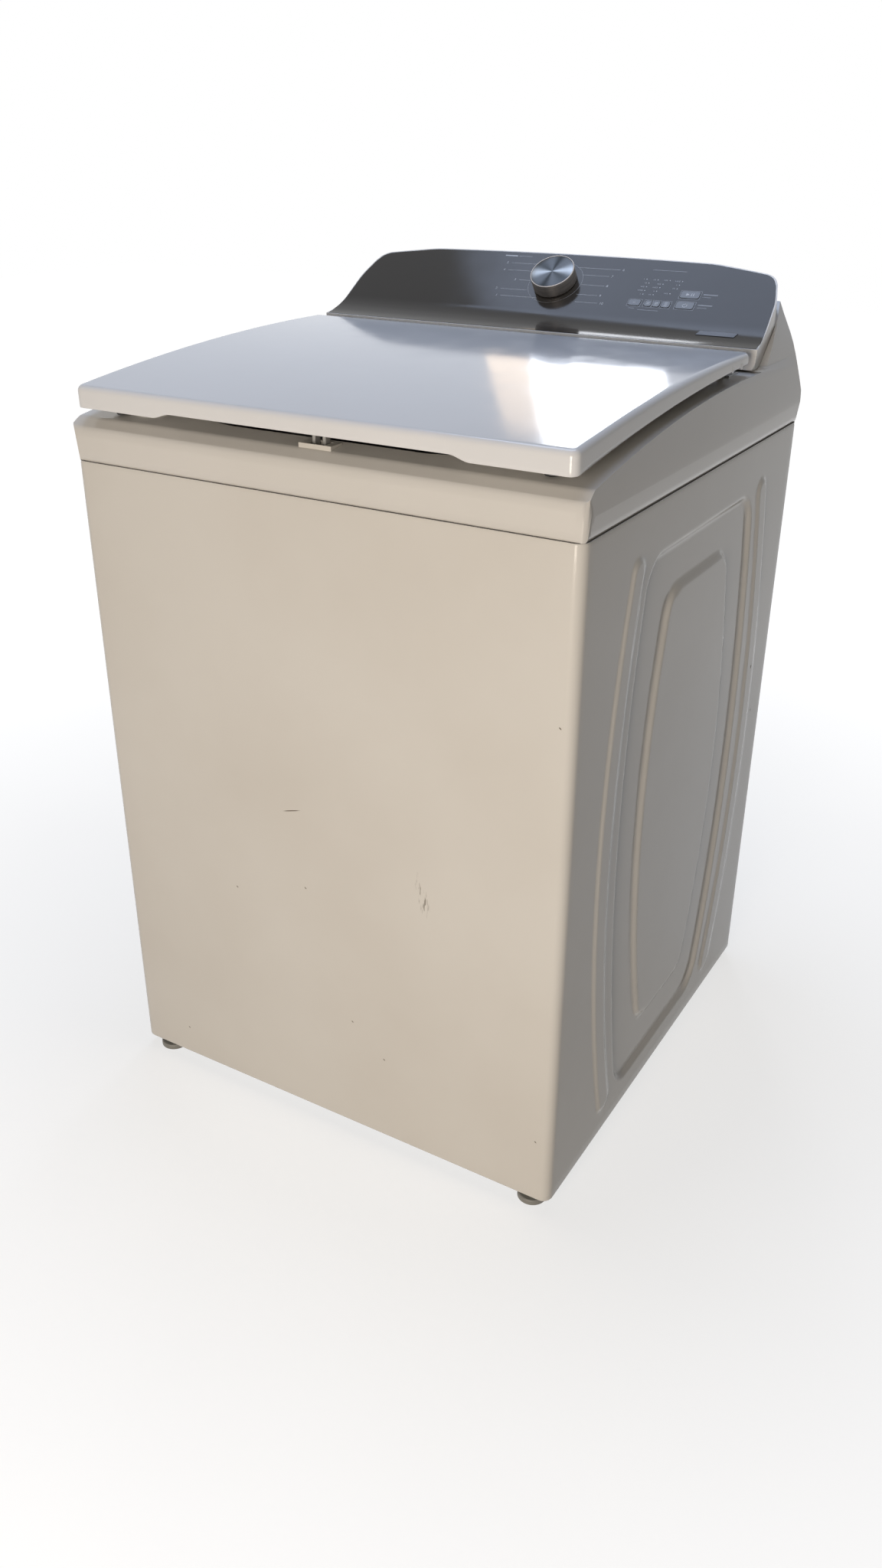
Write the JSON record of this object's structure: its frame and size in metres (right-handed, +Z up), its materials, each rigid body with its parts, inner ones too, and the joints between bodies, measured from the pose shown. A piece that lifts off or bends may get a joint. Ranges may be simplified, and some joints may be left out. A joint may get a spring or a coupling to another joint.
{
  "type": "top load washing machine",
  "caption": "Full-size top load washing machine with a crowned lift-up lid, a leaning console with knob and keys, and a hanging tub with basket and agitator.",
  "frame": {"origin": "on the floor under the middle of the machine", "axes": "+Z up, -Y to the front, +X to the right of someone who stands in front"},
  "size_m": [0.699, 0.708, 1.1095],
  "materials": {
    "enamel_front": "gloss enamel",
    "console_plastic": "gloss",
    "fascia_film": "gloss, dark grey",
    "chrome_trim": "bright",
    "key_film": "gloss, dark grey",
    "spun_metal": "spun",
    "galvanized_steel": "zinc coated",
    "white_plastic": "satin",
    "grey_plastic": "satin",
    "stainless_steel": "brushed",
    "cast_aluminium": "as cast",
    "plain_steel": "turned",
    "motor_steel": "black enamel",
    "black_rubber": "matte",
    "foot_plastic": "matte",
    "circuit_board": "satin"
  },
  "bodies": {
    "machine": {"cabinet_wrapper": "enamel_front", "rear_panel": "galvanized_steel", "rear_screws": "galvanized_steel", "base_frame": "galvanized_steel", "top_panel": "enamel_front", "console_housing": "console_plastic", "console_fascia": "fascia_film", "badge_plate": "spun_metal", "user_interface_board": "circuit_board", "main_control_box": "grey_plastic", "pressure_sensor": "grey_plastic", "lid_hinge_brackets": "plain_steel", "lid_lock_housing": "grey_plastic", "water_inlet_valve": "grey_plastic", "fill_spout": "white_plastic", "bleach_dispenser": "white_plastic", "suspension_rods": "plain_steel", "suspension_brackets": "galvanized_steel", "drain_outlet": "black_rubber", "cord_inlet_bush": "black_rubber"},
    "lid": {"lid_skin": "enamel_front", "lid_liner": "white_plastic", "lid_hinge_pins": "plain_steel", "lid_bumpers": "black_rubber", "lid_strike": "grey_plastic"},
    "lock_bolt": {"lock_bolt": "plain_steel"},
    "knob": {"knob_ring": "chrome_trim", "knob_cap": "spun_metal"},
    "start_key": {"start_key": "key_film"},
    "power_key": {"power_key": "key_film"},
    "option_key_1": {"option_key_1": "key_film"},
    "option_key_2": {"option_key_2": "key_film"},
    "option_key_3": {"option_key_3": "key_film"},
    "option_key_4": {"option_key_4": "key_film"},
    "foot_front_left": {"foot_front_left": "foot_plastic"},
    "foot_front_right": {"foot_front_right": "foot_plastic"},
    "foot_rear_left": {"foot_rear_left": "foot_plastic"},
    "foot_rear_right": {"foot_rear_right": "foot_plastic"},
    "tub": {"outer_tub": "grey_plastic", "tub_ring": "white_plastic", "bearing_housing": "cast_aluminium", "main_bearings": "plain_steel", "tub_seal": "black_rubber", "drive_motor": "motor_steel", "drain_pump": "grey_plastic", "drive_belt": "black_rubber", "drain_hose": "black_rubber", "suspension_springs": "plain_steel"},
    "basket": {"wash_basket": "stainless_steel", "basket_base": "cast_aluminium", "balance_ring": "grey_plastic"},
    "agitator": {"agitator": "white_plastic", "drive_shaft": "plain_steel", "drive_pulley": "cast_aluminium"},
    "softener_cup": {"softener_cup": "white_plastic"},
    "motor_rotor": {"motor_rotor": "motor_steel"},
    "pump_impeller": {"pump_impeller": "grey_plastic"},
    "clutch_slider": {"clutch_slider": "white_plastic"}
  },
  "joints": [
    {"name": "lid_hinge", "type": "hinge", "parent": "machine", "child": "lid", "pos_m": [0, 0.144, 1.01], "axis": [-1, 0, 0], "range_deg": [0, 100]},
    {"name": "lock_bolt_slide", "type": "slide", "parent": "machine", "child": "lock_bolt", "axis": [1, 0, 0], "range_m": [0, 0.009]},
    {"name": "knob_turn", "type": "hinge", "parent": "machine", "child": "knob", "pos_m": [0, 0.266, 1.075], "axis": [0, -0.5878, 0.809], "continuous": true},
    {"name": "start_key_press", "type": "slide", "parent": "machine", "child": "start_key", "axis": [0, 0.5878, -0.809], "range_m": [0, 0.001], "stiffness_N_per_m": 400, "springref_m": -0.001},
    {"name": "power_key_press", "type": "slide", "parent": "machine", "child": "power_key", "axis": [0, 0.5878, -0.809], "range_m": [0, 0.001], "stiffness_N_per_m": 400, "springref_m": -0.001},
    {"name": "option_key_1_press", "type": "slide", "parent": "machine", "child": "option_key_1", "axis": [0, 0.5878, -0.809], "range_m": [0, 0.001], "stiffness_N_per_m": 400, "springref_m": -0.001},
    {"name": "option_key_2_press", "type": "slide", "parent": "machine", "child": "option_key_2", "axis": [0, 0.5878, -0.809], "range_m": [0, 0.001], "stiffness_N_per_m": 400, "springref_m": -0.001},
    {"name": "option_key_3_press", "type": "slide", "parent": "machine", "child": "option_key_3", "axis": [0, 0.5878, -0.809], "range_m": [0, 0.001], "stiffness_N_per_m": 400, "springref_m": -0.001},
    {"name": "option_key_4_press", "type": "slide", "parent": "machine", "child": "option_key_4", "axis": [0, 0.5878, -0.809], "range_m": [0, 0.001], "stiffness_N_per_m": 400, "springref_m": -0.001},
    {"name": "foot_front_left_level", "type": "slide", "parent": "machine", "child": "foot_front_left", "axis": [0, 0, 1], "range_m": [-0.01, 0.004]},
    {"name": "foot_front_right_level", "type": "slide", "parent": "machine", "child": "foot_front_right", "axis": [0, 0, 1], "range_m": [-0.01, 0.004]},
    {"name": "foot_rear_left_level", "type": "slide", "parent": "machine", "child": "foot_rear_left", "axis": [0, 0, 1], "range_m": [-0.01, 0.004]},
    {"name": "foot_rear_right_level", "type": "slide", "parent": "machine", "child": "foot_rear_right", "axis": [0, 0, 1], "range_m": [-0.01, 0.004]},
    {"name": "tub_float", "type": "slide", "parent": "machine", "child": "tub", "axis": [0, 0, 1], "range_m": [-0.015, 0.01], "stiffness_N_per_m": 17000, "springref_m": 0.0251, "deforming": ["suspension_springs", "drain_hose"]},
    {"name": "basket_spin", "type": "hinge", "parent": "tub", "child": "basket", "pos_m": [0, -0.008, 0.232], "axis": [0, 0, 1], "continuous": true},
    {"name": "agitator_turn", "type": "hinge", "parent": "tub", "child": "agitator", "pos_m": [0, -0.008, 0.25], "axis": [0, 0, 1], "continuous": true},
    {"name": "softener_cup_lift", "type": "slide", "parent": "agitator", "child": "softener_cup", "axis": [0, 0, 1], "range_m": [0, 0.08]},
    {"name": "motor_turn", "type": "hinge", "parent": "tub", "child": "motor_rotor", "pos_m": [0, 0.177, 0.08], "axis": [0, 0, 1], "continuous": true},
    {"name": "impeller_turn", "type": "hinge", "parent": "tub", "child": "pump_impeller", "pos_m": [0.15, 0.17, 0.115], "axis": [0, 0, 1], "continuous": true},
    {"name": "clutch_slide", "type": "slide", "parent": "tub", "child": "clutch_slider", "axis": [0, 0, 1], "range_m": [0, 0.005]}
  ],
  "couplings": [
    {"joint": "motor_turn", "follows": "agitator_turn", "ratio": 5.9375}
  ]
}
